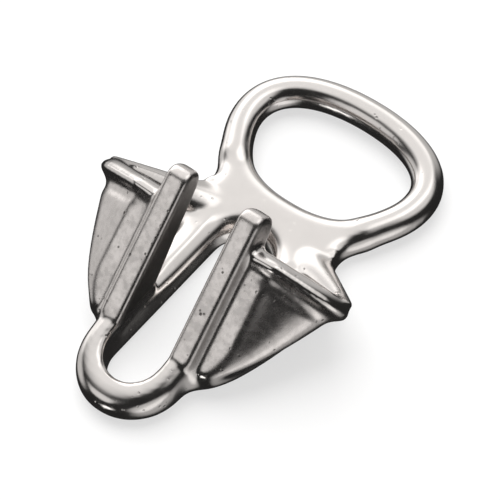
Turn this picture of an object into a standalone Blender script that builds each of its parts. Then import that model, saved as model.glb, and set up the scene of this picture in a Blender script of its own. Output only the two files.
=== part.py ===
"""Chain gripper: a cast stainless claw that holds an anchor chain on a rope.

The gripper lies on its flat back.  +Z is up out of the back, +Y runs from the
nose of the fork to the rope eye, and X is across.  The origin is in the plane
of the back, below the middle of the outline.  Every size is in metres.

The real piece is one casting.  Its members are modelled as separate solids
that meet face to face across a thin joint, so each one has its own name.
"""

import bpy
import bmesh
from math import asin, cos, pi, radians, sin, tan
from mathutils import Vector
from mathutils.geometry import interpolate_bezier

# Plate and joints
PLATE_THICKNESS = 0.008
JOINT_GAP = 0.0003

# Chain slot, for chain of up to 12 mm wire
CHAIN_WIRE = 0.012
SLOT_CLEARANCE = 0.0039
SLOT_LENGTH = 0.0559
FLOOR_LEAN = 0.0042

# Nose: the bend that closes the slot
NOSE_BAND = 0.0087
NOSE_ROOT_RISE = 0.0043
NOSE_ROOT_REACH = 0.0028
NOSE_TIP_THICKNESS = 0.0078

# Rails: the two ramps beside the slot
RAIL_WIDTH = 0.0068
RAIL_OVERHANG = 0.0063
RAIL_ANGLE = radians(41.5)
RAIL_TIP_DEPTH = 0.0086
RAIL_TIP_RADIUS = 0.0035
UNDERCUT_START = 0.0127

# Hoods: the bell-shaped pockets outside the rails
MOUTH_SETBACK = 0.00385
HOOD_BASE_WIDTH = 0.0160
HOOD_WIDTH = 0.0228
HOOD_BULGE_RISE = 0.0116
HOOD_BULGE_LIFT = 0.0010
HOOD_DROP = 0.0040
HOOD_WALL = 0.0040
MOUTH_TILT = radians(27.8)
LIP_FLARE = 0.0016
LIP_REACH = 0.006
HOLLOW_START = 0.30

# Shoulders: the side walls that run on from the mouths to the neck
SHOULDER_LENGTH = 0.0105
SHOULDER_WALL = 0.0036
SHOULDER_END_RISE = 0.0012

# Neck
NECK_WIDTH = 0.0425
NECK_BRIDGE = 0.0140

# Rope eye
EYE_BAR = 0.0092
EYE_WIDTH = 0.0626
EYE_OPENING = 0.0292
EYE_SHOULDER_DROP = 0.0150
EYE_LIMB_RISE = 0.0048
EYE_LIMB_LEAN = radians(30.0)
EYE_LIMB_INSET = 0.0052

# Rounding and mesh fineness
EDGE_ROUND = 0.0011
NOSE_ROUND = 0.0021
NECK_ROUND = 0.0006
ARC_STEPS = 12
STATIONS = 14

# Worked out from the sizes above
TOTAL_LENGTH = NOSE_BAND + SLOT_LENGTH + NECK_BRIDGE + EYE_OPENING + EYE_BAR
SLOT_HALF = (CHAIN_WIRE + SLOT_CLEARANCE) / 2
RAIL_OUTER = SLOT_HALF + RAIL_WIDTH
NOSE_TIP_Y = -TOTAL_LENGTH / 2
NOSE_ROOT_THICKNESS = PLATE_THICKNESS + NOSE_ROOT_RISE
SLOT_NOSE_Y = NOSE_TIP_Y + NOSE_BAND + SLOT_HALF
ROOT_Y = SLOT_NOSE_Y + NOSE_ROOT_REACH
SLOT_END_Y = NOSE_TIP_Y + NOSE_BAND + SLOT_LENGTH
SLOT_END_CENTRE_Y = SLOT_END_Y - SLOT_HALF
HOOD_START_Y = ROOT_Y + JOINT_GAP
MOUTH_Y = SLOT_END_Y - MOUTH_SETBACK
HOOD_LENGTH = MOUTH_Y - HOOD_START_Y
EYE_FLOOR_Y = SLOT_END_Y + NECK_BRIDGE
EYE_TOP_Y = TOTAL_LENGTH / 2
EYE_TOP_MIDDLE_Y = EYE_TOP_Y - EYE_BAR / 2
MEMBER_Z = PLATE_THICKNESS + JOINT_GAP


def clear_scene():
    """Remove every object, so the script can be run again."""
    for thing in list(bpy.data.objects):
        bpy.data.objects.remove(thing, do_unlink=True)


def steel(name, shade, roughness):
    """A polished stainless steel material."""
    material = bpy.data.materials.new(name)
    material.use_nodes = True
    shader = material.node_tree.nodes["Principled BSDF"]
    shader.inputs["Base Color"].default_value = (shade, shade * 0.985, shade * 0.965, 1)
    shader.inputs["Metallic"].default_value = 1.0
    shader.inputs["Roughness"].default_value = roughness
    return material


def new_object(name, mesh_builder, material=None):
    """Turn a bmesh into an object with smooth round faces."""
    bmesh.ops.recalc_face_normals(mesh_builder, faces=mesh_builder.faces)
    mesh = bpy.data.meshes.new(name)
    mesh_builder.to_mesh(mesh)
    mesh_builder.free()
    mesh.shade_smooth()
    mesh.set_sharp_from_angle(angle=radians(35))
    thing = bpy.data.objects.new(name, mesh)
    bpy.context.scene.collection.objects.link(thing)
    if material:
        mesh.materials.append(material)
    return thing


def round_edges(thing, width, segments=2, angle=50):
    """Round the sharp edges of an object."""
    bevel = thing.modifiers.new("rounding", "BEVEL")
    bevel.width = width
    bevel.segments = segments
    bevel.limit_method = "ANGLE"
    bevel.angle_limit = radians(angle)
    return bevel


def cut_away(thing, cutter):
    """Subtract a hidden cutter from an object."""
    cutter.hide_render = True
    cutter.display_type = "WIRE"
    boolean = thing.modifiers.new("cut", "BOOLEAN")
    boolean.operation = "DIFFERENCE"
    boolean.solver = "EXACT"
    boolean.object = cutter


def arc(centre_x, centre_y, radius, start, end, steps=ARC_STEPS):
    """Points along an arc, angles in radians."""
    turn = (end - start) / steps
    return [(centre_x + radius * cos(start + turn * i), centre_y + radius * sin(start + turn * i))
            for i in range(steps + 1)]


def curve_points(start, start_handle, end_handle, end, steps=ARC_STEPS):
    """Points along one Bezier span, as flat (a, b) pairs."""
    knots = [Vector((a, b, 0)) for a, b in (start, start_handle, end_handle, end)]
    return [(p.x, p.y) for p in interpolate_bezier(*knots, steps + 1)]


def loft(sections):
    """A closed solid through rings of points that all have the same count."""
    builder = bmesh.new()
    rings = [[builder.verts.new(point) for point in section] for section in sections]
    for ring, following in zip(rings, rings[1:]):
        for i in range(len(ring)):
            j = (i + 1) % len(ring)
            builder.faces.new((ring[i], ring[j], following[j], following[i]))
    builder.faces.new(rings[0])
    builder.faces.new(rings[-1])
    return builder


def prism(outline, low, high):
    """An outline in XY extruded along Z."""
    return loft([[(x, y, z) for x, y in outline] for z in (low, high)])


def slot_side(low_y, high_y):
    """Points up the slot's right side: its straight part, then its round end."""
    low_turn, high_turn = [asin(min(max((y - SLOT_END_CENTRE_Y) / SLOT_HALF, 0), 1)) for y in (low_y, high_y)]
    straight = [(SLOT_HALF, low_y)] if low_y < SLOT_END_CENTRE_Y else []
    if high_turn == 0:
        return straight + [(SLOT_HALF, high_y)]
    return straight + arc(0, SLOT_END_CENTRE_Y, SLOT_HALF, low_turn, high_turn, 6)


def inset_outline(outline, width):
    """Move a closed outline inwards by a width, with mitred corners."""
    points = [Vector(point) for point in outline]
    area = sum(a.cross(b) for a, b in zip(points, points[1:] + points[:1]))
    turn = 1 if area > 0 else -1
    moved = []
    for before, point, after in zip(points[-1:] + points, points, points[1:] + points[:1]):
        arriving = (point - before).normalized()
        leaving = (after - point).normalized()
        inward = Vector((-arriving.y - leaving.y, arriving.x + leaving.x)) * turn
        moved.append(tuple(point + inward * (width / (1 + arriving.dot(leaving)))))
    return moved


def rounded_prism(outline, low, high, width):
    """An extruded outline with its two rims rounded."""
    rise = [(width * (1 - sin(turn)), width * (1 - cos(turn))) for turn in (0, pi / 4, pi / 2)]
    levels = [(inset, low + lift) for inset, lift in rise] + [(inset, high - lift) for inset, lift in reversed(rise)]
    return loft([[(x, y, z) for x, y in inset_outline(outline, inset)] for inset, z in levels])


def nose(material):
    """The bend that closes the slot, thinning towards its tip."""
    outer_radius = RAIL_OUTER
    outer_centre_y = NOSE_TIP_Y + outer_radius
    inner = arc(0, SLOT_NOSE_Y, SLOT_HALF, pi, 2 * pi, 2 * ARC_STEPS)
    outer = arc(0, outer_centre_y, outer_radius, 2 * pi, pi, 2 * ARC_STEPS)
    outline = [(-SLOT_HALF, ROOT_Y)] + inner + [(SLOT_HALF, ROOT_Y), (outer_radius, ROOT_Y)] \
        + outer + [(-outer_radius, ROOT_Y)]

    def top_height(y):
        share = (ROOT_Y - y) / (ROOT_Y - NOSE_TIP_Y)
        return NOSE_ROOT_THICKNESS + share * (NOSE_TIP_THICKNESS - NOSE_ROOT_THICKNESS)

    low = [(x, y, 0) for x, y in outline]
    high = [(x, y, top_height(y)) for x, y in outline]
    bend = new_object("nose_bend", loft([low, high]), material)
    round_edges(bend, NOSE_ROUND)


def rail_top(y):
    """Height of the rails' top face over a point of the Y axis."""
    return NOSE_ROOT_THICKNESS + (y - ROOT_Y) * tan(RAIL_ANGLE)


def ramp_height(y_base, tilt, drop):
    """Height of the rails' top, less a drop, on a plane that leans back by tilt from the plate."""
    lean = tan(RAIL_ANGLE) * tan(tilt)
    return (rail_top(y_base) - drop + lean * PLATE_THICKNESS) / (1 + lean)


def rail_length():
    """Length of a rail's top: up to the mouths, and its overhang past them."""
    mouth_back = (ramp_height(MOUTH_Y, MOUTH_TILT, 0) - PLATE_THICKNESS) * tan(MOUTH_TILT)
    return (MOUTH_Y - mouth_back - HOOD_START_Y) / cos(RAIL_ANGLE) + RAIL_OVERHANG


def rail(name, side, material):
    """One ramp: a tapered bar with a rounded tip that overhangs the plate."""
    along = Vector((cos(RAIL_ANGLE), sin(RAIL_ANGLE)))
    down = Vector((sin(RAIL_ANGLE), -cos(RAIL_ANGLE)))
    root = Vector((ROOT_Y + JOINT_GAP, rail_top(ROOT_Y + JOINT_GAP)))
    tip = root + along * rail_length()
    upper = tip - along * RAIL_TIP_RADIUS + down * RAIL_TIP_RADIUS
    lower = tip - along * RAIL_TIP_RADIUS + down * (RAIL_TIP_DEPTH - RAIL_TIP_RADIUS)
    profile = [tuple(root)]
    profile += arc(upper.x, upper.y, RAIL_TIP_RADIUS, RAIL_ANGLE + pi / 2, RAIL_ANGLE, 6)
    profile += arc(lower.x, lower.y, RAIL_TIP_RADIUS, RAIL_ANGLE, RAIL_ANGLE - pi / 2, 6)
    profile += [(ROOT_Y + UNDERCUT_START, MEMBER_Z), (root.x, MEMBER_Z)]
    faces = [[(side * x, y, z) for y, z in profile] for x in (SLOT_HALF, RAIL_OUTER)]
    bar = new_object(name, loft(faces), material)
    round_edges(bar, EDGE_ROUND)


def base_edge(share):
    """Half width of the plate's top edge, from the nose (0) to the mouth (1)."""
    return RAIL_OUTER + JOINT_GAP + EDGE_ROUND + HOOD_BASE_WIDTH * share ** 0.42


def station_y(share):
    """Place along Y of a hood station at the plate's top."""
    return HOOD_START_Y + HOOD_LENGTH * share


def floor_side(name, side, material):
    """The plate beside the slot, which is the floor of one pocket."""
    shares = [(i / STATIONS) ** 2 for i in range(STATIONS + 1)]
    outer = [(base_edge(share), station_y(share)) for share in shares]
    inner = list(reversed(slot_side(HOOD_START_Y, MOUTH_Y)))

    def level(inset, z):
        points = [(max(x - inset, RAIL_OUTER), y) for x, y in outer]
        return [(side * x, y, z) for x, y in points + inner]

    heights = ((FLOOR_LEAN, 0), (FLOOR_LEAN * 0.45, PLATE_THICKNESS * 0.2),
               (FLOOR_LEAN * 0.2, PLATE_THICKNESS * 0.45), (0, PLATE_THICKNESS))
    new_object(name, loft([level(inset, z) for inset, z in heights]), material)


def hood_curve(share, inset=0.0):
    """The arch of a hood at one station: from its rail, out and down to the plate."""
    tilt = MOUTH_TILT * share
    inner_x = RAIL_OUTER + JOINT_GAP
    distance = (1 - share) * HOOD_LENGTH
    flare = LIP_FLARE * max(0.0, 1 - distance / LIP_REACH) ** 2
    top = ramp_height(station_y(share), tilt, HOOD_DROP) - inset + flare
    wide_x = inner_x + HOOD_WIDTH * share ** 0.5 - inset + flare
    wide_z = MEMBER_Z + HOOD_BULGE_LIFT + (HOOD_BULGE_RISE - HOOD_BULGE_LIFT) * share
    base_x = base_edge(share) - inset
    reach = wide_x - inner_x
    fall = top - wide_z
    over = curve_points((inner_x, top), (inner_x + reach * 0.55, top - fall * 0.10),
                        (wide_x, wide_z + fall * 0.45), (wide_x, wide_z))
    under = curve_points((wide_x, wide_z), (wide_x, wide_z - (wide_z - MEMBER_Z) * 0.4),
                         (base_x + (wide_x - base_x) * 0.3, MEMBER_Z + (wide_z - MEMBER_Z) * 0.3),
                         (base_x, MEMBER_Z), ARC_STEPS // 2)
    return over + under[1:]


def lay_ring(points, share, side):
    """Place a station's (x, z) points on its leaning plane."""
    lean = tan(MOUTH_TILT * min(share, 1.0))
    y_base = station_y(share)
    return [(side * x, y_base - (z - PLATE_THICKNESS) * lean, z) for x, z in points]


def hood_ring(share, side):
    """One station of a hood's outside, closed along the rail and the floor."""
    curve = hood_curve(share)
    return lay_ring(curve + [(curve[0][0], MEMBER_Z)], share, side)


def cavity_ring(share, side):
    """One station of a pocket, run past the rail's side and the floor so that it cuts them open."""
    curve = hood_curve(min(share, 1.0), HOOD_WALL)
    past_rail = RAIL_OUTER - 0.002
    past_floor = MEMBER_Z - 0.002
    closing = [(curve[-1][0], past_floor), (past_rail, past_floor), (past_rail, curve[0][1])]
    return lay_ring(curve + closing, share, side)


def hood(name, side, material):
    """One bell-shaped pocket, open towards the eye and towards the slot."""
    shares = [0.03 + 0.97 * (i / STATIONS) ** 1.3 for i in range(STATIONS + 1)]
    shell = new_object(name, loft([hood_ring(share, side) for share in shares]), material)
    hollow = [HOLLOW_START + (1 - HOLLOW_START) * i / STATIONS for i in range(STATIONS + 1)] + [1.1]
    cut_away(shell, new_object(name + "_cavity", loft([cavity_ring(share, side) for share in hollow])))


def shoulder(name, side, material):
    """The wall that carries a mouth's outer edge down to the neck."""
    lean = tan(MOUTH_TILT)
    mouth_outer = RAIL_OUTER + JOINT_GAP + HOOD_WIDTH + LIP_FLARE
    mouth_rise = HOOD_BULGE_RISE
    neck_half = NECK_WIDTH / 2
    rings = []
    for i in range(9):
        share = i / 8
        ease = share ** 0.6
        base_x = base_edge(1.0) + (neck_half - base_edge(1.0)) * ease
        top_x = mouth_outer + (neck_half - mouth_outer) * ease
        rise = mouth_rise + (SHOULDER_END_RISE - mouth_rise) * ease
        upright = lean * (1 - share)
        y_base = MOUTH_Y + JOINT_GAP * 1.5 + SHOULDER_LENGTH * share
        section = [(base_x, 0), (base_x + (top_x - base_x) * 0.55, rise * 0.45), (top_x, rise),
                   (top_x - SHOULDER_WALL * 0.5, rise + 0.0008), (top_x - SHOULDER_WALL, rise),
                   (base_x - SHOULDER_WALL + (top_x - base_x) * 0.45, rise * 0.40),
                   (base_x - SHOULDER_WALL * 1.3, 0)]
        rings.append([(side * x, y_base - z * upright, z + MEMBER_Z) for x, z in section])
    new_object(name, loft(rings), material)


def limb_end():
    """Middle and direction of the bar where each limb of the eye meets the neck."""
    middle = Vector((EYE_WIDTH / 2 - EYE_BAR / 2 - EYE_LIMB_INSET, EYE_FLOOR_Y + EYE_LIMB_RISE))
    direction = Vector((-sin(EYE_LIMB_LEAN), -cos(EYE_LIMB_LEAN)))
    return middle, direction


def eye_bow(material):
    """The round bar of the rope eye, from limb to limb."""
    top = (0, EYE_TOP_MIDDLE_Y)
    wide = (EYE_WIDTH / 2 - EYE_BAR / 2, EYE_TOP_MIDDLE_Y - EYE_SHOULDER_DROP)
    middle, direction = limb_end()
    end = middle - direction * JOINT_GAP
    half = curve_points(top, (wide[0] * 0.62, top[1]), (wide[0], wide[1] + EYE_SHOULDER_DROP * 0.62), wide, 14)
    lower = curve_points(wide, (wide[0], wide[1] - EYE_SHOULDER_DROP * 0.35),
                         tuple(end - direction * 0.0045), tuple(end), 8)
    right = half + lower[1:]
    path = [Vector((-x, y)) for x, y in reversed(right[1:])] + [Vector(point) for point in right]
    rings = []
    for i, point in enumerate(path):
        before = path[max(i - 1, 0)]
        after = path[min(i + 1, len(path) - 1)]
        heading = (after - before).normalized()
        if i == 0:
            heading = Vector((sin(EYE_LIMB_LEAN) * -1, cos(EYE_LIMB_LEAN)))
        if i == len(path) - 1:
            heading = direction
        across = Vector((heading.y, -heading.x))
        ring = []
        for k in range(16):
            angle = 2 * pi * k / 16
            out = across * (EYE_BAR / 2 * cos(angle))
            ring.append((point.x + out.x, point.y + out.y, EYE_BAR / 2 + EYE_BAR / 2 * sin(angle)))
        rings.append(ring)
    new_object("eye_bow", loft(rings), material)


def neck(material):
    """The flat plate between the slot's end and the eye, with the eye's lower edge."""
    middle, direction = limb_end()
    across = Vector((-direction.y, direction.x))
    inner_end = middle - across * EYE_BAR / 2
    outer_end = middle + across * EYE_BAR / 2
    start_y = MOUTH_Y + JOINT_GAP
    waist = (NECK_WIDTH / 2, start_y + SHOULDER_LENGTH)
    slot_end = list(reversed(slot_side(start_y, SLOT_END_Y)))
    side_lower = curve_points((base_edge(1.0), start_y), (base_edge(1.0) - 0.003, start_y + 0.003),
                              (waist[0], waist[1] - 0.006), waist, 6)
    side_upper = curve_points(waist, (waist[0], waist[1] + 0.004),
                              tuple(outer_end + direction * 0.004), tuple(outer_end), 6)
    opening = curve_points(tuple(inner_end), tuple(inner_end + direction * 0.006),
                           (inner_end.x * 0.45, EYE_FLOOR_Y), (0, EYE_FLOOR_Y), 8)
    right = slot_end + side_lower + side_upper[1:] + opening
    left = [(-x, y) for x, y in reversed(right[1:-1])]
    outline = right + left
    new_object("neck_plate", rounded_prism(outline, 0, PLATE_THICKNESS, NECK_ROUND), material)


def build():
    """Model every member of the gripper."""
    clear_scene()
    nose(steel("nose_steel", 0.74, 0.20))
    eye_bow(steel("eye_steel", 0.80, 0.14))
    neck(steel("neck_steel", 0.80, 0.14))
    for label, side in (("left", -1), ("right", 1)):
        floor_side(label + "_floor", side, steel(label + "_floor_steel", 0.76, 0.18))
        rail(label + "_rail", side, steel(label + "_rail_steel", 0.62, 0.30))
        hood(label + "_hood", side, steel(label + "_hood_steel", 0.62, 0.30))
        shoulder(label + "_shoulder", side, steel(label + "_shoulder_steel", 0.72, 0.22))


build()
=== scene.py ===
"""Chain gripper: the cast and polished claw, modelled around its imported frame."""

from math import ceil, cos, pi, radians, sin, sqrt, tan

import bmesh
import bpy
from bpy.props import FloatProperty, FloatVectorProperty, PointerProperty
from bpy.types import Operator, Panel, PropertyGroup
from mathutils import Matrix, Vector
from mathutils.geometry import interpolate_bezier


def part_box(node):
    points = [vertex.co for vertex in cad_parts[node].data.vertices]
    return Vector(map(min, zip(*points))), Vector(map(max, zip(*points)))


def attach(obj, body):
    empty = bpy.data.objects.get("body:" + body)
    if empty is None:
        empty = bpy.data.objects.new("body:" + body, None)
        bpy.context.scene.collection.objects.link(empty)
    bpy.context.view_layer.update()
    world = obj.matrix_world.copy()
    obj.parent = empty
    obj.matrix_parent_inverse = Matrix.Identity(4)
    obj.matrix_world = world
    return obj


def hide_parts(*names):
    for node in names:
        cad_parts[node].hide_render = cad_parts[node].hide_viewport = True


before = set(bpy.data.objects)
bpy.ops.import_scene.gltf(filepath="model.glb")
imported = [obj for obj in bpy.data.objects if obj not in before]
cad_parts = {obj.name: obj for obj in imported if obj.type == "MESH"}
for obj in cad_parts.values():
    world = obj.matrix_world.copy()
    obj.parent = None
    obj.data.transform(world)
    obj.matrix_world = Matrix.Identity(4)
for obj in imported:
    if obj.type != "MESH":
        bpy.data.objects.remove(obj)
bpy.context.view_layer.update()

bl_info = {
    "name": "Chain Gripper",
    "version": (1, 0, 0),
    "blender": (4, 5, 0),
    "location": "3D View > Sidebar > Gripper",
    "description": "Builds a cast steel claw for an anchor chain, and the studio around it",
    "category": "Add Mesh",
}

NODES = sorted(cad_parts)
MM = 0.001
HAIR = 0.001 * MM


def edge_of(node, corner, axis):
    """One coordinate of a frame node's box."""
    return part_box(node)[corner][axis]


NOSE_TIP = edge_of("nose_bend", 0, 1)
RAMP_ROOT = edge_of("nose_bend", 1, 1)
SLOT_SIDE = edge_of("right_rail", 0, 0)
RAMP_SIDE = edge_of("right_rail", 1, 0)
PLATE_TOP = edge_of("right_floor", 1, 2)
MOUTH_FOOT = edge_of("right_floor", 1, 1)
EYE_TOP = edge_of("eye_bow", 1, 1)
EYE_SIDE = edge_of("eye_bow", 1, 0)
EYE_DEPTH = edge_of("eye_bow", 1, 2)
PLATE_EDGE = edge_of("neck_plate", 1, 0)


class ForkSizes(PropertyGroup):
    """The fork: the nose, the plate and the two ramps beside the slot."""

    nose_band: FloatProperty(name="Nose band", description="Width of the bend that closes the slot",
                             default=8.0 * MM, unit="LENGTH")
    nose_root: FloatProperty(name="Nose root", description="Height of the bend where the ramps start",
                             default=12.3 * MM, unit="LENGTH")
    nose_tip: FloatProperty(name="Nose tip", description="Height of the bend at its tip",
                            default=7.8 * MM, unit="LENGTH")
    slot_end: FloatProperty(name="Slot end", description="Reach of the slot's round end past the mouths",
                            default=3.85 * MM, unit="LENGTH")
    slot_round: FloatProperty(name="Slot rounding", description="Rounding of the slot's edge behind the ramps",
                              default=5.4 * MM, unit="LENGTH")
    ramp_angle: FloatProperty(name="Ramp angle", description="Climb of the ramps",
                              default=radians(41.5), subtype="ANGLE")
    ramp_tip: FloatProperty(name="Ramp tip", description="Depth of a ramp at its tip",
                            default=8.6 * MM, unit="LENGTH")
    tip_round: FloatProperty(name="Tip rounding", description="Rounding of a ramp's tip",
                             default=3.5 * MM, unit="LENGTH")
    undercut: FloatProperty(name="Undercut", description="Where a ramp's underside leaves the plate",
                            default=12.7 * MM, unit="LENGTH")
    overhang: FloatProperty(name="Overhang", description="Reach of a ramp past the lip of its bell",
                            default=7.1 * MM, unit="LENGTH")


class BellSizes(PropertyGroup):
    """The two bell-shaped pockets and the walls that run on from them."""

    drop: FloatProperty(name="Shelf drop", description="Height of the ramp over the bell beside it",
                        default=4.0 * MM, unit="LENGTH")
    fold: FloatProperty(name="Fold", description="Distance of the bell's fold from the middle",
                        default=21.8 * MM, unit="LENGTH")
    width: FloatProperty(name="Width", description="Reach of the mouth out from the ramp",
                         default=23.8 * MM, unit="LENGTH")
    bulge: FloatProperty(name="Bulge", description="Height of the widest point over the plate",
                         default=11.6 * MM, unit="LENGTH")
    wall: FloatProperty(name="Wall", description="Thickness of the bell's wall",
                        default=4.0 * MM, unit="LENGTH")
    tilt: FloatProperty(name="Mouth tilt", description="Lean of the mouth back over the pocket",
                        default=radians(27.8), subtype="ANGLE")
    trough: FloatProperty(name="Trough", description="Depth of the pocket's hollow in the plate",
                          default=1.6 * MM, unit="LENGTH")
    shoulder: FloatProperty(name="Shoulder", description="Length of the wall from the mouth to the neck",
                            default=10.5 * MM, unit="LENGTH")


class EyeSizes(PropertyGroup):
    """The neck and the rope eye."""

    neck: FloatProperty(name="Neck width", description="Width of the waist between the fork and the eye",
                        default=42.5 * MM, unit="LENGTH")
    bridge: FloatProperty(name="Bridge", description="Metal between the slot's end and the eye",
                          default=13.5 * MM, unit="LENGTH")
    shoulder_drop: FloatProperty(name="Eye shoulder", description="Fall from the top bar to the widest point",
                                 default=16.0 * MM, unit="LENGTH")
    limb_rise: FloatProperty(name="Limb rise", description="Height of a limb's foot over the eye's lower edge",
                             default=4.8 * MM, unit="LENGTH")
    limb_lean: FloatProperty(name="Limb lean", description="Lean of the limbs where they meet the neck",
                             default=radians(30), subtype="ANGLE")
    limb_inset: FloatProperty(name="Limb inset", description="How far the limbs draw in below the widest point",
                              default=4.7 * MM, unit="LENGTH")


class FinishSettings(PropertyGroup):
    """The casting's roundings and colours, and the floor's colour."""

    body_round: FloatProperty(name="Body rounding", description="Rounding of the plate, nose and neck",
                              default=2.6 * MM, unit="LENGTH")
    edge_round: FloatProperty(name="Edge rounding", description="Rounding of the ramps and lips",
                              default=1.1 * MM, unit="LENGTH")
    fillet: FloatProperty(name="Fillet", description="Rounding of the inside corners",
                          default=0.5 * MM, unit="LENGTH")
    steel: FloatVectorProperty(name="Steel", description="Colour of the polished steel",
                               subtype="COLOR", size=3, default=(0.86, 0.83, 0.81), min=0, max=1)
    satin: FloatVectorProperty(name="Satin steel", description="Colour of the ground faces",
                               subtype="COLOR", size=3, default=(0.90, 0.86, 0.84), min=0, max=1)
    pits: FloatVectorProperty(name="Pits", description="Colour of the pits left by casting",
                              subtype="COLOR", size=3, default=(0.10, 0.085, 0.08), min=0, max=1)
    floor: FloatVectorProperty(name="Floor", description="Colour of the studio floor",
                               subtype="COLOR", size=3, default=(0.93, 0.93, 0.93), min=0, max=1)


# ---------------------------------------------------------------- mesh tools


def curve_points(start, start_handle, end_handle, end, steps):
    """Points along one Bezier span in a plane."""
    knots = [Vector((*point, 0)) for point in (start, start_handle, end_handle, end)]
    return [(p.x, p.y) for p in interpolate_bezier(*knots, steps + 1)]


def arc(centre, radius, start, end, steps):
    """Points along an arc in a plane."""
    turn = (end - start) / steps
    return [(centre[0] + radius * cos(start + turn * i), centre[1] + radius * sin(start + turn * i))
            for i in range(steps + 1)]


def mirrored(outline):
    """Both halves of an outline that is given from the middle, round the right side, to the middle."""
    return outline + [(-x, y) for x, y in reversed(outline[1:-1])]


def smooth_step(low, high, value):
    """A smooth rise from 0 at low to 1 at high."""
    share = min(max((value - low) / (high - low), 0.0), 1.0)
    return share * share * (3 - 2 * share)


def closed_ring(builder, points):
    """A loop of edges through points."""
    verts = [builder.verts.new(point) for point in points]
    return [builder.edges.new(pair) for pair in zip(verts, verts[1:] + verts[:1])]


def skin_over(builder, rings):
    """Bridge a row of edge rings, and close its two ends."""
    for ring, following in zip(rings, rings[1:]):
        bmesh.ops.bridge_loops(builder, edges=ring + following)
    for end in (rings[0], rings[-1]):
        bmesh.ops.edgeloop_fill(builder, edges=end)


def loft(sections):
    """A closed skin over a row of sections."""
    builder = bmesh.new()
    skin_over(builder, [closed_ring(builder, section) for section in sections])
    return builder


def close_holes(builder):
    """Fill every open edge loop."""
    open_edges = [edge for edge in builder.edges if edge.is_boundary]
    bmesh.ops.holes_fill(builder, edges=open_edges, sides=0)


def prism(points, direction):
    """A flat outline, extruded."""
    builder = bmesh.new()
    verts = [builder.verts.new(point) for point in points]
    face = bmesh.ops.contextual_create(builder, geom=verts)["faces"][0]
    grown = bmesh.ops.extrude_face_region(builder, geom=[face])["geom"]
    moved = [part for part in grown if isinstance(part, bmesh.types.BMVert)]
    bmesh.ops.translate(builder, verts=moved, vec=direction)
    close_holes(builder)
    return builder


def as_object(name, builder):
    """An object from a bmesh, with its normals facing out."""
    bmesh.ops.recalc_face_normals(builder, faces=builder.faces)
    mesh = bpy.data.meshes.new(name)
    builder.to_mesh(mesh)
    builder.free()
    thing = bpy.data.objects.new(name, mesh)
    bpy.context.scene.collection.objects.link(thing)
    return thing


def combine(thing, other, operation):
    """Add another solid to a thing, or cut it away."""
    boolean = thing.modifiers.new(operation.lower(), "BOOLEAN")
    boolean.operation = operation
    boolean.solver = "MANIFOLD"
    boolean.object = other


def offset(thing, distance, voxel, steps=1):
    """Rebuild the skin of a thing as even voxels, and move it out, or in where the distance is negative."""
    for _ in range(steps):
        remesh = thing.modifiers.new("skin", "REMESH")
        remesh.mode = "VOXEL"
        remesh.voxel_size = voxel
        if distance:
            shift = thing.modifiers.new("shift", "DISPLACE")
            shift.strength = distance / steps
            shift.mid_level = 0


def erode(thing, distance):
    """Move a thing's skin in by steps no longer than a voxel, so that sharp edges don't fold."""
    offset(thing, -distance, SKIN_VOXEL, ceil(distance / SKIN_VOXEL))


def polish(thing, rounds):
    """Smooth a thing's skin."""
    smooth = thing.modifiers.new("polish", "SMOOTH")
    smooth.iterations = rounds


def apply_all(thing):
    """Make the modifiers' result the thing's own mesh."""
    graph = bpy.context.evaluated_depsgraph_get()
    mesh = bpy.data.meshes.new_from_object(thing.evaluated_get(graph))
    thing.modifiers.clear()
    thing.data = mesh


def discard(*things):
    """Remove helper objects."""
    for thing in things:
        bpy.data.objects.remove(thing, do_unlink=True)


def part(name):
    """A member that an earlier operator left in the scene."""
    thing = bpy.data.objects.get(name)
    if thing is None:
        raise RuntimeError("the member " + name + " has to be built first")
    return thing


# ---------------------------------------------------------------- shapes

# Fillets between the members, the voxels that skins are rebuilt in, and the rounds of smoothing
BODY_FILLET = 1.5 * MM
JOIN_FILLET = 1.6 * MM
BODY_VOXEL = 0.7 * MM
SKIN_VOXEL = 0.5 * MM
FINAL_VOXEL = 0.5 * MM
BODY_POLISH = 10
FINAL_POLISH = 6

# The plate: how its sides widen beside the bells and draw in at the waist, with the reach of its curves
BELL_FOOT = RAMP_ROOT + 0.3 * MM
BELL_LENGTH = MOUTH_FOOT - BELL_FOOT
EDGE_START = 1.4 * MM
EDGE_REACH = PLATE_EDGE - RAMP_SIDE - EDGE_START - 1.2 * MM
EDGE_SWELL = 0.42
EDGE_LEAN = 0.2
WAIST = MOUTH_FOOT + 10.8 * MM
CORNER_CURVE = 3 * MM
WAIST_CURVES = (6 * MM, 4 * MM)
LIMB_CURVES = (4 * MM, 6 * MM)
BRIDGE_CURVE = 0.45
# Its levels from the underside up: how far the sides draw in, and the height
PLATE_LEVELS = ((3.6 * MM, 0), (0.6 * MM, PLATE_TOP * 0.55), (0.4 * MM, PLATE_TOP))

# The nose: height of the block it is cut from, and how far that runs on under the ramps
NOSE_BLANK = 15 * MM
NOSE_RUN_ON = 4 * MM

# The eye: how its bar swells at the widest point, its curves, and how deep a limb sinks in the neck
EYE_SWELL = 0.4 * MM
TOP_CURVE = 0.62
SIDE_CURVE = 0.35
LIMB_CURVE = 4.5 * MM
LIMB_SINK = 4 * MM

# The ramps: draft of their slot walls, how far before the root they start, how low they reach into the plate, and
# which edges are rounded
DRAFT = 0.11
RAMP_LEAD = 1 * MM
RAMP_SINK = 3 * MM
UNDERCUT_LEAN = 2 * MM
RIM_FLOOR = 5 * MM
EDGE_ACROSS = 2 * MM

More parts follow.
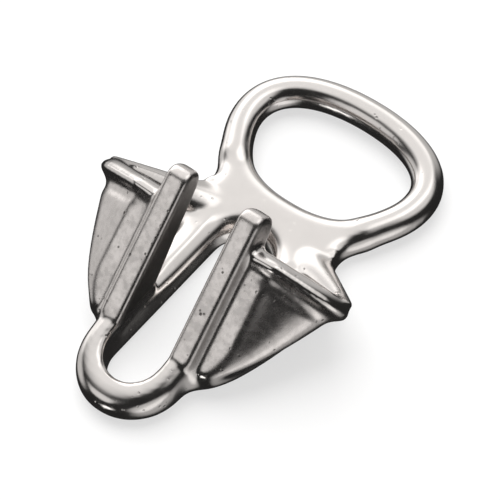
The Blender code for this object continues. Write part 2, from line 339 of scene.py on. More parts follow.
# A bell's arch: shelf, fold, flank and underside, mostly as shares of its fall and reach
BULGE_START = 1 * MM
FOLD_REACH = 0.7
FOLD_INSET = 0.6
SHELF_FALL = 0.2 * MM
FLANK_OUT, FLANK_FALL, FLANK_SWELL = 0.26, 0.30, 0.55
UNDER_TUCK, UNDER_OUT, UNDER_RISE = 0.4, 0.3, 0.3
BELL_OVERLAP = 2 * MM
BELL_SINK = 4 * MM
BELL_STATIONS = [0.02 + 0.66 * (i / 12) ** 1.2 for i in range(13)]

# The lip: heights over the bell and distances from the mouth, in millimetres; the spans below them run from the
# ramp (0) to the plate (1)
LIP_ROUND = 0.9 * MM
LIP_LAND = 4.8
LIP_DROP = 3.6
LIP_CURL = 1.3
LIP_CREST = 2.6
LIP_GROOVE = -1.5
LIP_GROOVE_AT = 9.2
LIP_END = 11.8
LIP_STATIONS = [0.4 * step for step in range(31, -1, -1)]
CREST_RISES, CREST_FALLS, CREST_LOSS = (0.02, 0.25), (0.8, 1), 0.6
GROOVE_RISES, GROOVE_FALLS = (0, 0.2), (0.62, 0.8)
KNOB_RISES, KNOB_FALLS, KNOB_SINK, KNOB_DROP = (0.5, 0.68), (0.8, 0.95), 0.2, 0.6

# A pocket: its stations, how it draws in before the mouth, and where the trough in the plate starts and runs out
POCKET_STATIONS = [0.28 + 0.72 * i / 12 for i in range(13)] + [1.05]
POCKET_DRAW, POCKET_DRAWS = 1.2 * MM, (0.8, 0.95)
TROUGH_STARTS, TROUGH_ENDS = (0.3, 0.7), (0.8, 1.03)
POCKET_OVERLAP = 3 * MM
POCKET_CLEARANCE = 0.05 * MM

# A web, the wall from a mouth's outer corner to the neck: its run, then its section from foot to toe
WEB_EASE = 2.2
WEB_OUT = 0.3 * MM
WEB_INSET = 1.8 * MM
WEB_NECK = 0.5 * MM
WEB_END = -0.6 * MM
WEB_SINK = 3 * MM
WEB_FOOT = 15 * MM
WEB_FOOT_SHIFT = 4 * MM
WEB_LEAN = 0.2 * MM
WEB_SIDES = (0.45, 0.5)
WEB_CROWN = 1.12
WEB_CREST = 0.8
WEB_SLOPE, WEB_SLOPE_RISE = 1.7, 0.85
WEB_TOE, WEB_TOE_RISE, WEB_TOE_SINK = 5 * MM, 0.12, 0.3 * MM

# The slot: draft, where its rounded edge grows to full, and the cutter's levels below and above the metal
SLOT_DRAFT = 0.9 * MM
ROUND_LEAST = 0.3
ROUND_GROWS = (-3 * MM, 12 * MM)
CUTTER_BELOW = -2 * MM
CUTTER_WIDE = (0.6 * MM, 1.1)
CUTTER_NARROW = 0.8 * MM
CUTTER_TOP = 30 * MM


def plate_side(share):
    """Half width of the plate from the nose (0) to the mouth (1)."""
    return RAMP_SIDE + EDGE_START + EDGE_REACH * share ** EDGE_SWELL


def station(share):
    """Place of a bell's station on the plate."""
    return BELL_FOOT + BELL_LENGTH * share


def ramp_height(fork, y_base, tilt, drop):
    """Height of the ramps, less a drop, on a plane that leans back by tilt from the plate."""
    slope = tan(fork.ramp_angle)
    lean = slope * tan(tilt)
    return (fork.nose_root + (y_base - RAMP_ROOT) * slope - drop + lean * PLATE_TOP) / (1 + lean)


def limb_foot(fork, eye):
    """Middle and direction of the bar where a limb of the eye meets the neck."""
    floor_y = MOUTH_FOOT + fork.slot_end + eye.bridge
    middle = Vector((EYE_SIDE - EYE_DEPTH / 2 - eye.limb_inset, floor_y + eye.limb_rise))
    return middle, Vector((-sin(eye.limb_lean), -cos(eye.limb_lean))), floor_y


def plate_outline(fork, eye, lean):
    """The plate in plan, its sides drawn in by a lean: nose, floors, neck and the eye's lower edge."""
    middle, direction, floor_y = limb_foot(fork, eye)
    across = Vector((-direction.y, direction.x)) * EYE_DEPTH / 2
    outer, inner = middle + across, middle - across
    waist = (eye.neck / 2, WAIST)
    right = arc((0, NOSE_TIP + RAMP_SIDE), RAMP_SIDE, -pi / 2, 0, 12) + [(RAMP_SIDE, RAMP_ROOT - RAMP_LEAD)]
    for share in [(i / 12) ** 2 for i in range(1, 13)]:
        right.append((max(plate_side(share) - lean, RAMP_SIDE - lean * EDGE_LEAN), station(share)))
    foot = right[-1]
    right += curve_points(foot, (foot[0] - CORNER_CURVE, foot[1] + CORNER_CURVE),
                          (waist[0], waist[1] - WAIST_CURVES[0]), waist, 8)[1:]
    right += curve_points(waist, (waist[0], waist[1] + WAIST_CURVES[1]),
                          tuple(outer + direction * LIMB_CURVES[0]), tuple(outer), 8)[1:]
    right += curve_points(tuple(inner), tuple(inner + direction * LIMB_CURVES[1]),
                          (inner.x * BRIDGE_CURVE, floor_y), (0, floor_y), 10)
    return mirrored(right)


def nose_block(fork):
    """The bend before its slot is cut, with a top that falls towards the tip."""
    back = RAMP_ROOT + NOSE_RUN_ON
    outline = arc((0, NOSE_TIP + RAMP_SIDE), RAMP_SIDE, -pi / 2, 0, 16) + [(RAMP_SIDE, back), (0, back)]
    builder = prism([(x, y, 0) for x, y in mirrored(outline)], (0, 0, NOSE_BLANK))
    fall = (fork.nose_root - fork.nose_tip) / (RAMP_ROOT - NOSE_TIP)
    whole = builder.verts[:] + builder.edges[:] + builder.faces[:]
    bmesh.ops.bisect_plane(builder, geom=whole, plane_co=(0, RAMP_ROOT, fork.nose_root),
                           plane_no=(0, -fall, 1), clear_outer=True)
    close_holes(builder)
    return builder


def eye_path(fork, eye):
    """The middle of the eye's round bar, from limb to limb."""
    middle, direction, _ = limb_foot(fork, eye)
    drop = eye.shoulder_drop
    top = (0, EYE_TOP - EYE_DEPTH / 2)
    wide = (EYE_SIDE - EYE_DEPTH / 2 + EYE_SWELL, top[1] - drop)
    over = curve_points(top, (wide[0] * TOP_CURVE, top[1]), (wide[0], wide[1] + drop * TOP_CURVE), wide, 16)
    down = curve_points(wide, (wide[0], wide[1] - drop * SIDE_CURVE),
                        tuple(middle - direction * LIMB_CURVE), tuple(middle), 10)
    right = over + down[1:] + [tuple(middle + direction * LIMB_SINK)]
    return [Vector((-x, y, 0)) for x, y in reversed(right[1:])] + [Vector((x, y, 0)) for x, y in right]


def eye_bar(fork, eye):
    """The round bar of the rope eye."""
    path = eye_path(fork, eye)
    builder = bmesh.new()
    rings = []
    for before, point, after in zip(path[:1] + path, path, path[1:] + path[-1:]):
        heading = (after - before).normalized()
        upward = Vector((0, 0, 1))
        axes = Matrix((heading.cross(upward), upward, heading)).transposed()
        place = Matrix.Translation(point + upward * (EYE_DEPTH / 2)) @ axes.to_4x4()
        verts = bmesh.ops.create_circle(builder, radius=EYE_DEPTH / 2, segments=32, matrix=place)["verts"]
        rings.append(list({edge for vert in verts for edge in vert.link_edges}))
    skin_over(builder, rings)
    return builder


def ramp(fork, bell, side, rounding):
    """One ramp: a tapered bar with a rounded tip that overhangs the plate."""
    along = Vector((cos(fork.ramp_angle), sin(fork.ramp_angle)))
    down = Vector((along.y, -along.x))
    mouth_back = (ramp_height(fork, MOUTH_FOOT, bell.tilt, 0) - PLATE_TOP) * tan(bell.tilt)
    length = (MOUTH_FOOT - mouth_back - BELL_FOOT) / along.x + fork.overhang
    root = Vector((RAMP_ROOT, fork.nose_root))
    tip = root + along * length
    upper = tip + (down - along) * fork.tip_round
    lower = tip - along * fork.tip_round + down * (fork.ramp_tip - fork.tip_round)
    heel = RAMP_ROOT + fork.undercut
    outline = [(root.x - RAMP_LEAD, PLATE_TOP), tuple(root)]
    outline += arc(upper, fork.tip_round, fork.ramp_angle + pi / 2, fork.ramp_angle, 8)
    outline += arc(lower, fork.tip_round, fork.ramp_angle, fork.ramp_angle - pi / 2, 8)
    outline += [(heel, PLATE_TOP), (heel - UNDERCUT_LEAN, RAMP_SINK), (root.x - RAMP_LEAD, RAMP_SINK)]
    builder = prism([(side * SLOT_SIDE, y, z) for y, z in outline], (side * (RAMP_SIDE - SLOT_SIDE), 0, 0))
    for vert in builder.verts:
        depth = (Vector((vert.co.y, vert.co.z)) - root).dot(down)
        if abs(vert.co.x) < SLOT_SIDE + HAIR:
            vert.co.x += side * DRAFT * max(depth, 0.0)
    bmesh.ops.recalc_face_normals(builder, faces=builder.faces)
    rims = [edge for edge in builder.edges
            if abs(edge.verts[0].co.x - edge.verts[1].co.x) < EDGE_ACROSS
            and min(vert.co.z for vert in edge.verts) > RIM_FLOOR]
    bmesh.ops.bevel(builder, geom=rims, affect="EDGES", offset=rounding, segments=4, profile=0.5,
                    material=-1, clamp_overlap=False)
    return builder


def bell_arch(fork, bell, share, inset=0.0):
    """The arch of a bell at one station: shelf, fold, side and foot, as (x, z) points."""
    top = ramp_height(fork, station(share), bell.tilt * share, bell.drop) - inset
    wide = (RAMP_SIDE + bell.width * sqrt(share) - inset,
            PLATE_TOP + BULGE_START + (bell.bulge - BULGE_START) * share)
    fold = (min(bell.fold - inset * FOLD_INSET, RAMP_SIDE + (wide[0] - RAMP_SIDE) * FOLD_REACH),
            top - SHELF_FALL * share)
    foot = (plate_side(share) - inset, PLATE_TOP)
    fall = top - wide[1]
    stand = wide[1] - PLATE_TOP
    shelf = [(RAMP_SIDE + (fold[0] - RAMP_SIDE) * i / 3, top + (fold[1] - top) * i / 3) for i in range(3)]
    flank = curve_points(fold, (fold[0] + (wide[0] - fold[0]) * FLANK_OUT, fold[1] - fall * FLANK_FALL),
                         (wide[0], wide[1] + fall * FLANK_SWELL), wide, 14)
    under = curve_points(wide, (wide[0], wide[1] - stand * UNDER_TUCK),
                         (foot[0] + (wide[0] - foot[0]) * UNDER_OUT, PLATE_TOP + stand * UNDER_RISE), foot, 6)
    return shelf + flank + under[1:]


def lip_rise(distance, along):
    """Height of the lip over the bell, both in millimetres; along runs from the ramp (0) to the plate (1)."""
    knob = smooth_step(*KNOB_RISES, along) * (1 - smooth_step(*KNOB_FALLS, along))
    swell = 0.5 + 0.5 * smooth_step(*CREST_RISES, along)
    crest = LIP_CREST * swell * (1 - CREST_LOSS * smooth_step(*CREST_FALLS, along)) - KNOB_SINK * knob
    groove = LIP_GROOVE * smooth_step(*GROOVE_RISES, along) * (1 - smooth_step(*GROOVE_FALLS, along))
    if distance < LIP_LAND:
        return crest - (LIP_DROP + KNOB_DROP * knob) * (1 - distance / LIP_LAND) ** LIP_CURL
    if distance < LIP_GROOVE_AT:
        return crest + (groove - crest) * smooth_step(LIP_LAND, LIP_GROOVE_AT, distance)
    return groove * (1 - smooth_step(LIP_GROOVE_AT, LIP_END, distance))


def flared(points, rise_at):
    """An arch moved out by a rise that changes along it."""
    moved = []
    last = len(points) - 1
    for i, (x, z) in enumerate(points):
        before, after = points[max(i - 1, 0)], points[min(i + 1, last)]
        run = Vector((after[0] - before[0], after[1] - before[1])).normalized()
        rise = rise_at(i / last)
        moved.append((x - run.y * rise, z + run.x * rise))
    return moved


def leaning(bell, points, share, side):
    """A station's (x, z) points laid on its leaning plane."""
    lean = tan(bell.tilt * min(share, 1.0))
    return [(side * x, station(share) - (z - PLATE_TOP) * lean, z) for x, z in points]


def bell_solid(fork, bell, side):
    """The outside of a bell, from the nose to its flared lip, as a solid."""
    inner = RAMP_SIDE - BELL_OVERLAP
    sections = []
    for share in BELL_STATIONS + [1 - distance * MM / BELL_LENGTH for distance in LIP_STATIONS]:
        distance = (1 - share) * BELL_LENGTH / MM
        points = flared(bell_arch(fork, bell, share), lambda along: lip_rise(distance, along) * MM)
        closing = [(points[-1][0], BELL_SINK), (inner, BELL_SINK), (inner, points[0][1])]
        sections.append(leaning(bell, points + closing, share, side))
    return loft(sections)


def pocket(fork, bell, side):
    """The hollow of a bell, with a trough in the plate that runs out past the mouth."""
    inner = RAMP_SIDE - POCKET_OVERLAP
    sections = []
    for share in POCKET_STATIONS:
        draw = -POCKET_DRAW * smooth_step(*POCKET_DRAWS, share)
        arch = flared(bell_arch(fork, bell, min(share, 1.0), bell.wall), lambda along: draw)
        depth = bell.trough * smooth_step(*TROUGH_STARTS, share) * (1 - smooth_step(*TROUGH_ENDS, share))
        foot = arch[-1][0]
        floor = [(foot + (RAMP_SIDE - foot) * i / 8, PLATE_TOP - depth * sin(pi * i / 8)) for i in range(1, 8)]
        closing = [(inner, PLATE_TOP + POCKET_CLEARANCE), (inner, arch[0][1])]
        sections.append(leaning(bell, arch + floor + closing, share, side))
    return loft(sections)


def web_section(bell, base_x, top_x, rise, foot_x):
    """Across a web: its foot in the plate, its outer face, its crown and its inner slope, as (x, z) points."""
    crown = rise * WEB_CROWN
    inner_x = top_x - bell.wall
    section = [(foot_x, -WEB_SINK), (base_x, -WEB_SINK)]
    section += curve_points((base_x, 0), (base_x, rise * WEB_SIDES[0]),
                            (top_x + WEB_LEAN, rise * WEB_SIDES[1]), (top_x, rise), 5)
    section += curve_points((top_x, rise), (top_x, crown),
                            (top_x - bell.wall * WEB_CREST, crown), (inner_x, rise), 5)[1:]
    section += curve_points((inner_x, rise), (top_x - bell.wall * WEB_SLOPE, rise * WEB_SLOPE_RISE),
                            (foot_x + WEB_TOE, rise * WEB_TOE_RISE), (foot_x, -WEB_TOE_SINK), 8)[1:]
    return section


def shoulder_wall(bell, eye, side):
    """The wall that carries a mouth's outer edge down to the neck."""
    mouth_side = RAMP_SIDE + bell.width + WEB_OUT
    neck_side = eye.neck / 2
    sections = []
    for share in [i / 12 for i in range(-1, 13)]:
        past_mouth = 1 - max(share, 0.0)
        ease = 1 - past_mouth ** WEB_EASE
        base_x = PLATE_EDGE - WEB_INSET + (neck_side + WEB_NECK - PLATE_EDGE) * ease
        top_x = mouth_side + (neck_side - mouth_side) * ease
        rise = bell.bulge + (WEB_END - bell.bulge) * ease
        foot_x = base_x - WEB_FOOT + WEB_FOOT_SHIFT * ease
        upright = tan(bell.tilt) * past_mouth
        y_base = MOUTH_FOOT + bell.shoulder * share
        sections.append([(side * x, y_base - z * upright, PLATE_TOP + z)
                         for x, z in web_section(bell, base_x, top_x, rise, foot_x)])
    return loft(sections)


def slot_cutter(fork):
    """The slot, with a rounded top edge where the ramps have left the plate."""
    nose_y = NOSE_TIP + fork.nose_band + SLOT_SIDE
    end_y = MOUTH_FOOT + fork.slot_end - SLOT_SIDE
    heel = RAMP_ROOT + fork.undercut
    grows = [heel + reach for reach in ROUND_GROWS]

    def ring(z, grow):
        draft = SLOT_DRAFT * max(1 - z / (PLATE_TOP - fork.slot_round), 0)
        narrow = SLOT_SIDE - draft
        points = arc((0, nose_y), narrow, -pi / 2, 0, 10)
        for i in range(1, 14):
            y = nose_y + (end_y - nose_y) * i / 14
            points.append((narrow + grow * (ROUND_LEAST + (1 - ROUND_LEAST) * smooth_step(*grows, y)), y))
        points += arc((0, end_y), narrow + grow, 0, pi / 2, 10)
        return [(x, y, z) for x, y in mirrored(points)]

    levels = [(CUTTER_BELOW, 0.0)]
    for turn in [pi / 2 * i / 5 for i in range(6)]:
        levels.append((PLATE_TOP + fork.slot_round * (sin(turn) - 1), fork.slot_round * (1 - cos(turn))))
    levels += [(PLATE_TOP + CUTTER_WIDE[0], fork.slot_round * CUTTER_WIDE[1]),
               (PLATE_TOP + CUTTER_NARROW, 0.0), (CUTTER_TOP, 0.0)]
    return loft([ring(z, grow) for z, grow in levels])


# ---------------------------------------------------------------- materials


class Value:
    """One output in a node tree, which takes Python's own arithmetic."""

    def __init__(self, nodes, socket):
        self.nodes = nodes
        self.socket = socket

    def _math(self, operation, *values):
        return self.nodes.add("ShaderNodeMath", {"operation": operation}, dict(enumerate(values)))

    def __add__(self, other):
        return self._math("ADD", self, other)

    __radd__ = __add__

    def __sub__(self, other):
        return self._math("SUBTRACT", self, other)

    def __rsub__(self, other):
        return self._math("SUBTRACT", other, self)

    def __mul__(self, other):
        return self._math("MULTIPLY", self, other)

    __rmul__ = __mul__

    def __abs__(self):
        return self._math("ABSOLUTE", self)


class Nodes:
    """A node tree that is filled from Python expressions."""

    def __init__(self, tree):
        self.tree = tree

    def add(self, kind, settings=None, inputs=None, output=0):
        """A node with its settings and inputs, as the value of one of its outputs."""
        node = self.tree.nodes.new(kind)
        for name, value in (settings or {}).items():
            setattr(node, name, value)
        for name, value in (inputs or {}).items():
            self.feed(node.inputs[name], value)
        return Value(self, node.outputs[output])

    def feed(self, socket, value):
        """Link a value to a socket, or set the socket's own number."""
        if isinstance(value, Value):
            self.tree.links.new(value.socket, socket)
        else:
            socket.default_value = value

    def rise(self, value, low, high):
        """0 below low, 1 above high, smooth between them."""
        return self.add("ShaderNodeMapRange", {"interpolation_type": "SMOOTHSTEP", "clamp": True},
                        {"Value": value, "From Min": low, "From Max": high, "To Min": 0.0, "To Max": 1.0})

    def noise(self, place, scale, detail=3.0, roughness=0.55):
        """A noise between about 0.3 and 0.7."""
        return self.add("ShaderNodeTexNoise", {"noise_dimensions": "3D"},
                        {"Vector": place, "Scale": scale, "Detail": detail, "Roughness": roughness})

    def mix(self, factor, first, second):
        """A colour between two colours."""
        return self.add("ShaderNodeMix", {"data_type": "RGBA"}, {0: factor, 6: first, 7: second}, 2)


def principled(name):
    """A new material and its shader."""
    material = bpy.data.materials.new(name)
    material.use_nodes = True
    return material, material.node_tree.nodes["Principled BSDF"]


def colour(value, shade=1.0):
    """A colour as a socket takes it, darkened to a share."""
    return (*[channel * shade for channel in value], 1)


# Where each part of the finish, and of the painted shade on the ramps' walls, begins and is full
RAISED = (PLATE_TOP + 0.8 * MM, PLATE_TOP + 3.0 * MM)
BEHIND_BEND = (RAMP_ROOT - 1.2 * MM, RAMP_ROOT + 0.6 * MM)
BRIGHT_LIP = (3.8 * MM, 5.2 * MM)
BESIDE_RAMP = (RAMP_SIDE, RAMP_SIDE + 0.8 * MM)
BELOW_TOP = (0.4 * MM, 1.2 * MM)
ON_SLOT_WALL = (0.3 * MM, 0.8 * MM)
ON_OUTER_WALL = (0.35 * MM, 0.9 * MM)

# Noise: how fine it is (waves to a metre), its detail, and the span of it that counts
CLOUD_SCALE, CLOUD_SPAN = 170.0, (0.36, 0.66)
MOTTLE_SCALE, MOTTLE_DETAIL, MOTTLE_SPAN = 620.0, 4.0, (0.35, 0.68)
GRAIN_SCALE, GRAIN_DETAIL = 2600.0, 2.0
WAVE_SCALE, WAVE_DETAIL = 75.0, 1.0
PIT_SCALE, PIT_SPAN = 520.0, (0.10, 0.24)
PATCH_SCALE, PATCH_DETAIL, PATCH_SPAN = 240.0, 2.0, (0.52, 0.64)

# Colour: how much rough finish and painted shade the ramps' walls take, how dark each steel gets, and the shares
# that clouds, mottle and pits take
SLOT_WALL_ROUGH_AND_SHADE, OUTER_WALL_ROUGH_AND_SHADE = 0.85, 0.65
# The third shade darkens the satin colour on the ramps' walls: this is painted shade
WORN_SHADE, BRIGHT_SHADE, WALL_PAINTED_SHADE = 0.70, 0.86, 0.16
WORN_SHARE, CLOUD_SHARE, GROUND_SHARE = 0.30, 0.25, 0.92
PIT_SHARE, GROUND_PIT_SHARE = 0.25, 0.6

# Roughness of the polished steel, and what each part of the finish adds to it
POLISH_ROUGH, CLOUD_ROUGH, GROUND_ROUGH, MOTTLE_ROUGH, RAW_ROUGH = 0.15, 0.05, 0.06, 0.06, 0.15

# Relief: its strength and height, and the weight of each part
RELIEF_STRENGTH, RELIEF_HEIGHT = 0.55, 0.35 * MM
WAVE_RELIEF, MOTTLE_RELIEF, GRAIN_RELIEF, RAW_RELIEF, PIT_RELIEF = 0.5, 0.04, 0.04, 0.4, 0.35


def cast_steel(finish, fork, bell):
    """Cast stainless steel: mirror bright on the plate and eye, satin and pitted on the ramps and bells, with
    painted shade on the ramps' walls.
    """
    material, shader = principled("cast_steel")
    nodes = Nodes(material.node_tree)
    place = nodes.add("ShaderNodeTexCoord", output=3)
    x, y, z = (nodes.add("ShaderNodeSeparateXYZ", inputs={0: place}, output=axis) for axis in range(3))

    raised = nodes.rise(z, *RAISED)
    behind_bend = nodes.rise(y, *BEHIND_BEND)
    from_mouth = MOUTH_FOOT - y - (z - PLATE_TOP) * tan(bell.tilt)
    lip = (1 - nodes.rise(from_mouth, *BRIGHT_LIP)) * nodes.rise(abs(x), *BESIDE_RAMP)
    ground = raised * behind_bend * (1 - lip)
    depth = fork.nose_root - z + (y - RAMP_ROOT) * tan(fork.ramp_angle)
    below_top = nodes.rise(depth, *BELOW_TOP) * raised * behind_bend
    # The ramps' walls below their top: rough as cast, and darkened in colour as painted shade
    slot_wall = (1 - nodes.rise(abs(x) - SLOT_SIDE - depth * DRAFT, *ON_SLOT_WALL)) * below_top
    outer_wall = (1 - nodes.rise(abs(abs(x) - RAMP_SIDE), *ON_OUTER_WALL)) * below_top * (1 - lip)
    rough_and_shaded_wall = slot_wall * SLOT_WALL_ROUGH_AND_SHADE + outer_wall * OUTER_WALL_ROUGH_AND_SHADE

    cloud = nodes.rise(nodes.noise(place, CLOUD_SCALE), *CLOUD_SPAN)
    mottle = nodes.rise(nodes.noise(place, MOTTLE_SCALE, MOTTLE_DETAIL), *MOTTLE_SPAN)
    grain = nodes.noise(place, GRAIN_SCALE, GRAIN_DETAIL)
    waves = nodes.noise(place, WAVE_SCALE, WAVE_DETAIL)
    spots = nodes.add("ShaderNodeTexVoronoi", {"feature": "F1"}, {"Vector": place, "Scale": PIT_SCALE})
    patches = nodes.rise(nodes.noise(place, PATCH_SCALE, PATCH_DETAIL), *PATCH_SPAN)
    pits = (1 - nodes.rise(spots, *PIT_SPAN)) * patches

    worn = nodes.mix(cloud * WORN_SHARE + mottle * WORN_SHARE,
                     colour(finish.satin), colour(finish.satin, WORN_SHADE))
    bright = nodes.mix(cloud * CLOUD_SHARE, colour(finish.steel), colour(finish.steel, BRIGHT_SHADE))
    base = nodes.mix(ground * GROUND_SHARE, bright, worn)
    # Painted shade: the ramps' walls take a dark copy of the satin colour
    base = nodes.mix(rough_and_shaded_wall, base, colour(finish.satin, WALL_PAINTED_SHADE))
    base = nodes.mix(pits * (PIT_SHARE + GROUND_PIT_SHARE * ground), base, colour(finish.pits))
    rough = POLISH_ROUGH + CLOUD_ROUGH * cloud + rough_and_shaded_wall * RAW_ROUGH
    rough = rough + ground * (GROUND_ROUGH + MOTTLE_ROUGH * mottle)
    nodes.feed(shader.inputs["Base Color"], base)
    nodes.feed(shader.inputs["Roughness"], rough)
    nodes.feed(shader.inputs["Metallic"], 1.0)

    relief = waves * WAVE_RELIEF + rough_and_shaded_wall * grain * RAW_RELIEF - pits * PIT_RELIEF
    relief = relief + ground * (mottle * MOTTLE_RELIEF + grain * GRAIN_RELIEF)
    bump = nodes.add("ShaderNodeBump", None,
                     {"Strength": RELIEF_STRENGTH, "Distance": RELIEF_HEIGHT, "Height": relief})
    nodes.feed(shader.inputs["Normal"], bump)
    return material


FLOOR_SHADE = 0.4
FLOOR_GLOW = 0.68


def floor_paint(finish):
    """A matt pale floor, which glows a little so that its shadows stay soft."""
    material, shader = principled("floor_paint")
    settings = {"Base Color": colour(finish.floor, FLOOR_SHADE), "Emission Color": colour(finish.floor),
                "Emission Strength": FLOOR_GLOW, "Roughness": 0.9, "Specular IOR Level": 0.1}
    for name, value in settings.items():
        shader.inputs[name].default_value = value
    return material


# Patches of the studio's sky: direction, cosine where each starts and is full, brightness
SKY_PATCHES = [
    ((-0.40, 0.42, 0.82), 0.60, 0.93, 0.86),
    ((0.40, 0.42, 0.80), 0.80, 0.96, 0.70),
    ((-0.86, 0.42, 0.30), 0.80, 0.95, 0.80),
    ((-0.40, -0.74, 0.54), 0.93, 0.98, 0.72),
    ((-0.97, -0.23, -0.02), 0.84, 0.97, 0.58),
    ((-0.40, 0.92, 0.10), 0.70, 0.96, 0.50),
    ((0.80, -0.55, -0.15), 0.80, 0.93, 0.52),
    ((0.80, -0.25, -0.55), 0.75, 0.95, 0.38),
    ((-0.15, -0.93, -0.33), 0.98, 0.996, 1.60),
]
SKY_BASE = 0.02
SKY_TINT = (1.0, 0.985, 0.97, 1)


def studio_sky():
    """A dark studio with soft bright patches round the gripper."""
    world = bpy.data.worlds.new("studio_sky")
    world.use_nodes = True
    nodes = Nodes(world.node_tree)
    direction = nodes.add("ShaderNodeTexCoord", output=0)
    total = SKY_BASE
    for towards, start, full, strength in SKY_PATCHES:
        towards = tuple(Vector(towards).normalized())
        facing = nodes.add("ShaderNodeVectorMath", {"operation": "DOT_PRODUCT"}, {0: direction, 1: towards}, 1)
        total = total + nodes.rise(facing, start, full) * strength
    background = world.node_tree.nodes["Background"]
    nodes.feed(background.inputs["Strength"], total)
    nodes.feed(background.inputs["Color"], SKY_TINT)
    bpy.context.scene.world = world


# ---------------------------------------------------------------- operators


class GRIPPER_OT_body(Operator):
    """Build the plate, the nose and the rope eye as one rounded body"""

    bl_idname = "gripper.body"
    bl_label = "Build Plate and Eye"

    def execute(self, context):
        scene = context.scene
        fork, eye, finish = scene.gripper_fork, scene.gripper_eye, scene.gripper_finish
        sections = [[(x, y, z) for x, y in plate_outline(fork, eye, lean)] for lean, z in PLATE_LEVELS]
        body = as_object("body", loft(sections))
        nose = as_object("nose", nose_block(fork))
        bar = as_object("bar", eye_bar(fork, eye))
        for other in (nose, bar):
            combine(body, other, "UNION")
        erode(body, finish.body_round)
        offset(body, finish.body_round + BODY_FILLET, BODY_VOXEL)
        offset(body, -BODY_FILLET, BODY_VOXEL)
        offset(body, 0, BODY_VOXEL)
        polish(body, BODY_POLISH)
        slot = as_object("slot_form", slot_cutter(fork))
        combine(body, slot, "DIFFERENCE")
        erode(body, finish.edge_round)
        offset(body, finish.edge_round, SKIN_VOXEL)
        apply_all(body)
        discard(nose, bar, slot)
        return {"FINISHED"}


class GRIPPER_OT_bells(Operator):
    """Build the two bells, the pockets to cut from them, and the walls that run on to the neck"""

    bl_idname = "gripper.bells"
    bl_label = "Build Bells"

    def execute(self, context):
        scene = context.scene
        fork, bell, eye = scene.gripper_fork, scene.gripper_bell, scene.gripper_eye
        for name, side in (("left", -1), ("right", 1)):
            form = as_object(name + "_bell_form", bell_solid(fork, bell, side))
            erode(form, LIP_ROUND)
            offset(form, LIP_ROUND, SKIN_VOXEL)
            apply_all(form)
            as_object(name + "_pocket_form", pocket(fork, bell, side))
            as_object(name + "_shoulder_form", shoulder_wall(bell, eye, side))
        return {"FINISHED"}


class GRIPPER_OT_ramps(Operator):
    """Build the two ramps beside the slot"""

    bl_idname = "gripper.ramps"
    bl_label = "Build Ramps"

    def execute(self, context):
        scene = context.scene
        fork, bell = scene.gripper_fork, scene.gripper_bell
        for name, side in (("left", -1), ("right", 1)):
            as_object(name + "_ramp_form", ramp(fork, bell, side, scene.gripper_finish.edge_round))
        return {"FINISHED"}


class GRIPPER_OT_casting(Operator):
    """Join the members into one casting with rounded edges and filleted corners"""

    bl_idname = "gripper.casting"
    bl_label = "Join Casting"

    def execute(self, context):
        scene = context.scene
        finish = scene.gripper_finish
        casting = part("body")
        casting.name = "casting"
        sides = ("left_", "right_")
        # The walls are joined once more after the pockets are cut, because the cut thins them at the mouth
        steps = (("UNION", ("bell_form", "shoulder_form"), JOIN_FILLET),
                 ("DIFFERENCE", ("pocket_form",), 0),
                 ("UNION", ("shoulder_form", "ramp_form"), finish.fillet))
        members = {}
        for operation, pieces, fillet in steps:
            for name in [side + piece for piece in pieces for side in sides]:
                members[name] = part(name)
                combine(casting, members[name], operation)
            if fillet:
                offset(casting, fillet, SKIN_VOXEL)
                offset(casting, -fillet, SKIN_VOXEL)
        offset(casting, 0, FINAL_VOXEL)
        polish(casting, FINAL_POLISH)
        apply_all(casting)
        discard(*members.values())
        casting.data.shade_smooth()
        casting.data.materials.clear()
        casting.data.materials.append(cast_steel(finish, scene.gripper_fork, scene.gripper_bell))
        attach(casting, "root")
        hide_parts(*NODES)
        return {"FINISHED"}


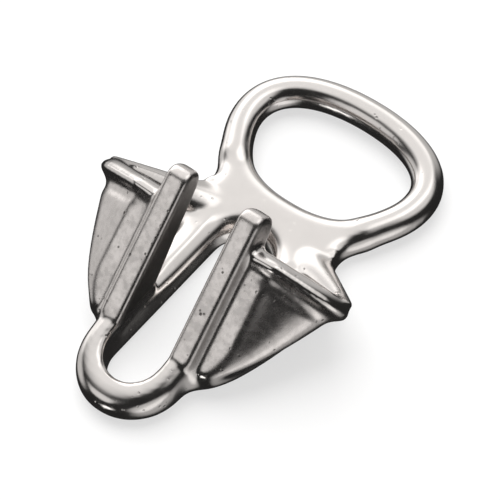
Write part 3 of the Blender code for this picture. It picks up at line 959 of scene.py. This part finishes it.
class GRIPPER_OT_stage(Operator):
    """Lay the floor, and set the light and the camera"""

    bl_idname = "gripper.stage"
    bl_label = "Set Stage"

    AZIMUTH = radians(43.217)
    ELEVATION = radians(54.603)
    ROLL = radians(-5.421)
    DISTANCE = 1.0001
    LOOK = Vector((-0.00068, 0.00336, 0.00146))
    LENS = 280.8
    FLOOR_REACH = 3.0
    FLOOR_GAP = 0.1 * MM
    LAMP_PLACE = Vector((-0.5, 0.35, 1.5))
    LAMP_SIZE = 1.6
    LAMP_POWER = 24.0

    def execute(self, context):
        scene = context.scene
        builder = bmesh.new()
        bmesh.ops.create_grid(builder, x_segments=2, y_segments=2, size=self.FLOOR_REACH)
        bmesh.ops.translate(builder, verts=builder.verts, vec=(0, 0, -self.FLOOR_GAP))
        floor = as_object("floor", builder)
        floor.data.materials.append(floor_paint(scene.gripper_finish))
        floor.visible_glossy = False
        studio_sky()
        self.light(scene)
        self.camera(scene)
        scene.view_settings.view_transform = "Standard"
        return {"FINISHED"}

    def light(self, scene):
        """A soft square lamp overhead that faces the origin."""
        data = bpy.data.lights.new("overhead", "AREA")
        data.shape = "SQUARE"
        data.size = self.LAMP_SIZE
        data.energy = self.LAMP_POWER
        lamp = bpy.data.objects.new("overhead", data)
        scene.collection.objects.link(lamp)
        lamp.location = self.LAMP_PLACE
        lamp.rotation_euler = (-self.LAMP_PLACE).to_track_quat("-Z", "Y").to_euler()
        lamp.visible_glossy = False

    def camera(self, scene):
        """A long lens that looks down on the gripper from its right front."""
        level = Vector((cos(self.AZIMUTH), sin(self.AZIMUTH), 0))
        out = cos(self.ELEVATION)
        back = Vector((sin(self.AZIMUTH) * out, -cos(self.AZIMUTH) * out, sin(self.ELEVATION)))
        rise = back.cross(level)
        right = level * cos(self.ROLL) + rise * sin(self.ROLL)
        up = rise * cos(self.ROLL) - level * sin(self.ROLL)
        data = bpy.data.cameras.new("camera")
        data.sensor_width = 36
        data.lens = self.LENS
        data.clip_start = 0.01
        camera = bpy.data.objects.new("camera", data)
        scene.collection.objects.link(camera)
        place = Matrix((right, up, back)).transposed().to_4x4()
        place.translation = self.LOOK + back * self.DISTANCE
        camera.matrix_world = place
        scene.camera = camera


class GRIPPER_PT_panel(Panel):
    """The gripper's settings and steps"""

    bl_idname = "GRIPPER_PT_panel"
    bl_label = "Chain Gripper"
    bl_space_type = "VIEW_3D"
    bl_region_type = "UI"
    bl_category = "Gripper"

    def draw(self, context):
        layout = self.layout
        for group in SETTINGS:
            settings = getattr(context.scene, group)
            layout.label(text=group.removeprefix("gripper_").title())
            for name in settings.__annotations__:
                layout.prop(settings, name)
        for operator in STEPS:
            layout.operator(operator.bl_idname)


STEPS = (GRIPPER_OT_body, GRIPPER_OT_bells, GRIPPER_OT_ramps, GRIPPER_OT_casting, GRIPPER_OT_stage)
SETTINGS = {
    "gripper_fork": ForkSizes,
    "gripper_bell": BellSizes,
    "gripper_eye": EyeSizes,
    "gripper_finish": FinishSettings,
}


def register():
    for kind in (*SETTINGS.values(), *STEPS, GRIPPER_PT_panel):
        bpy.utils.register_class(kind)
    for name, kind in SETTINGS.items():
        setattr(bpy.types.Scene, name, PointerProperty(type=kind))


def unregister():
    for name in SETTINGS:
        delattr(bpy.types.Scene, name)
    for kind in reversed((*SETTINGS.values(), *STEPS, GRIPPER_PT_panel)):
        bpy.utils.unregister_class(kind)


def main():
    """Build the gripper and its stage."""
    register()
    bpy.ops.gripper.body()
    bpy.ops.gripper.bells()
    bpy.ops.gripper.ramps()
    bpy.ops.gripper.casting()
    bpy.ops.gripper.stage()


if __name__ == "__main__":
    main()
